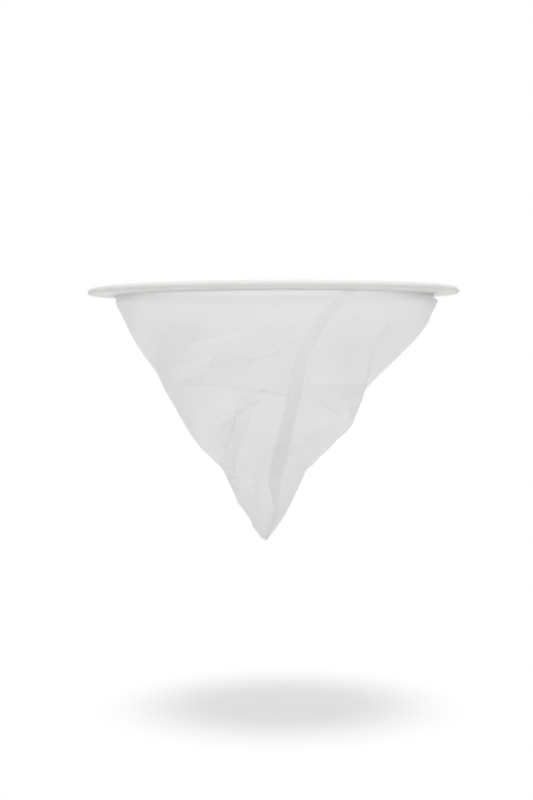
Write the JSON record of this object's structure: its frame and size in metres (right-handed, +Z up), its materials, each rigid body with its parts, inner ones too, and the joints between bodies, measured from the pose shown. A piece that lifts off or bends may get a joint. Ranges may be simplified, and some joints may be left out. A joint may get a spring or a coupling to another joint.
{
  "type": "conical honey filter",
  "caption": "Conical honey filter: a cone of fine nylon mesh with a lapped seam, held in a flat plastic rim ring that rests on the mouth of a bucket",
  "frame": {"origin": "centre of the ring's flat seat face, on the axis of the ring", "axes": "+Z up, out of the mouth of the cone; the cone hangs towards -Z; the seam runs down the front, -Y"},
  "size_m": [0.3, 0.3, 0.2048],
  "materials": {
    "ring_plastic": "satin white moulded plastic",
    "nylon_mesh": "fine translucent white nylon mesh, lightly crumpled"
  },
  "bodies": {
    "root": {"rim_ring": "ring_plastic", "filter_cone": "nylon_mesh"}
  },
  "joints": []
}
